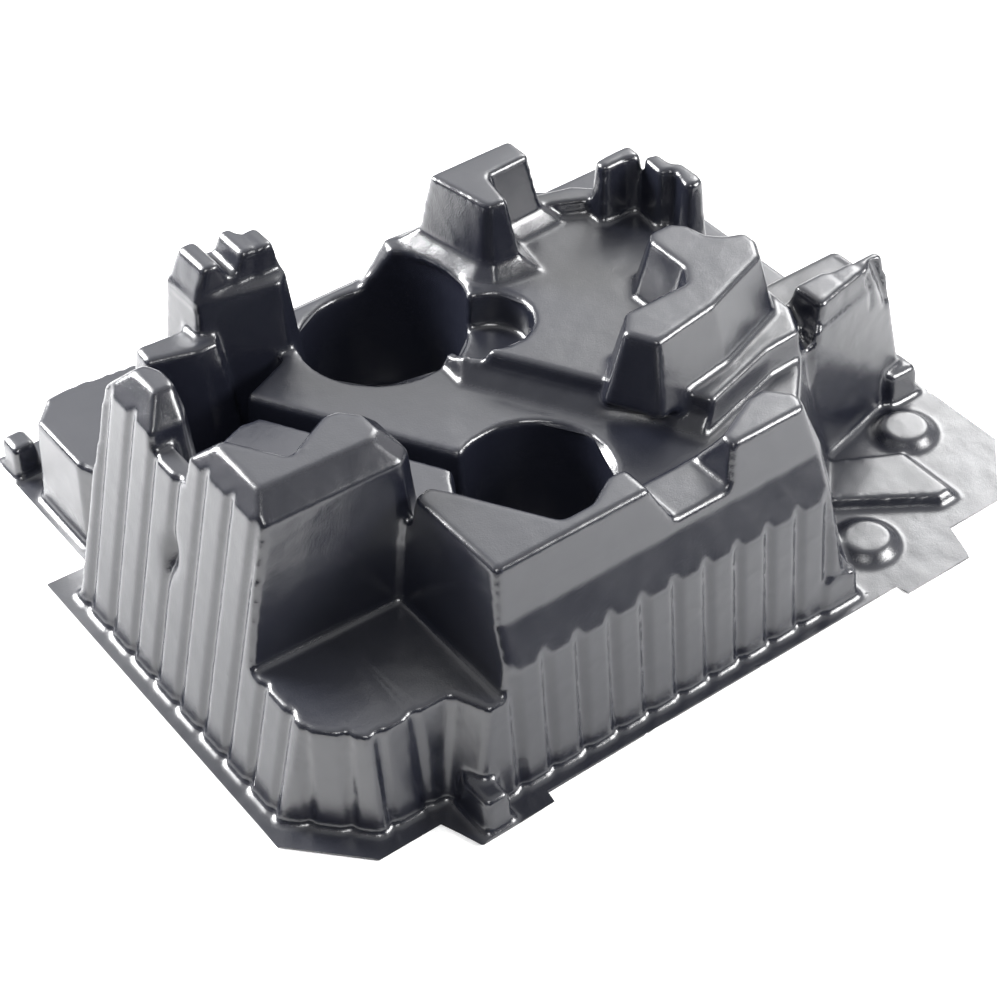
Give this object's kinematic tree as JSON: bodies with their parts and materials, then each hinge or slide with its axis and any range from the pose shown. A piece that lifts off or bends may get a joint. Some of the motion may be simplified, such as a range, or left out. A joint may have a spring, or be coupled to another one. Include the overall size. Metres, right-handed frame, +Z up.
{
  "type": "thermoformed plastic tray insert",
  "caption": "Thin vacuum-formed tray insert with fluted walls, drafted towers and round pockets that hold a power tool and its parts in a case.",
  "frame": {"origin": "middle of the underside of the flange, on the surface that the tray rests on", "axes": "+X along the long front side, +Y from the fluted front wall to the back, +Z up out of the flange"},
  "size_m": [0.378, 0.312, 0.121],
  "materials": {
    "sheet": "near-black polystyrene sheet, satin gloss with a fine grain"
  },
  "bodies": {
    "root": {"tray": "sheet"}
  },
  "joints": []
}
